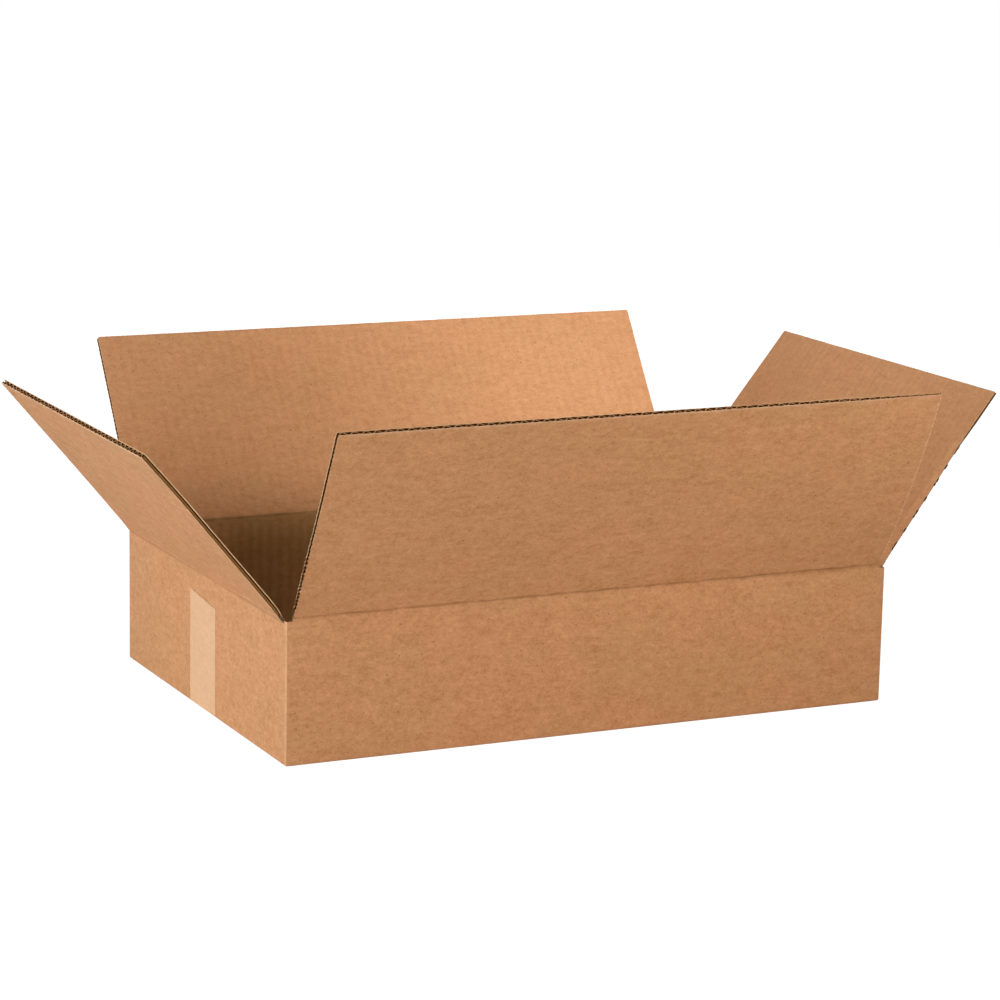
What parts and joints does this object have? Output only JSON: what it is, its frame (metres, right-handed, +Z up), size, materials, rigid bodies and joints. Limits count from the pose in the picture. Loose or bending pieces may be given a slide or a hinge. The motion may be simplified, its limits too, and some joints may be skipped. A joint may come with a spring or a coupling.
{
  "type": "open corrugated carton",
  "caption": "Shallow corrugated board carton, taped shut underneath and open on top, with hinged flaps on all sides swung outwards.",
  "frame": {"origin": "centre of the base that the carton stands on", "axes": "+Z up out of the open top; +X along the long walls towards the right-hand end, which has no slanting view of the tape in the picture; +Y towards the back wall"},
  "size_m": [0.6586, 0.4738, 0.24],
  "materials": {
    "kraft_board": "matt kraft liner, mottled",
    "kraft_paper": "matt kraft liner with open fluting at the edges",
    "packing_tape": "smooth pale tan gummed tape, slight sheen"
  },
  "bodies": {
    "body": {"carton_body": "kraft_board", "bottom_tape": "packing_tape"},
    "front_flap": {"front_flap": "kraft_paper"},
    "back_flap": {"back_flap": "kraft_paper"},
    "left_flap": {"left_flap": "kraft_paper"},
    "right_flap": {"right_flap": "kraft_paper"}
  },
  "joints": [
    {"name": "front_crease", "type": "hinge", "parent": "body", "child": "front_flap", "pos_m": [0, -0.1565, 0.1018], "axis": [1, 0, 0], "range_deg": [-118.1, 102.6]},
    {"name": "back_crease", "type": "hinge", "parent": "body", "child": "back_flap", "pos_m": [0, 0.1565, 0.1018], "axis": [-1, 0, 0], "range_deg": [-124.7, 96]},
    {"name": "left_crease", "type": "hinge", "parent": "body", "child": "left_flap", "pos_m": [-0.2325, 0, 0.0976], "axis": [0, -1, 0], "range_deg": [-130, 88.7]},
    {"name": "right_crease", "type": "hinge", "parent": "body", "child": "right_flap", "pos_m": [0.2325, 0, 0.0976], "axis": [0, 1, 0], "range_deg": [-127.6, 91.1]}
  ]
}
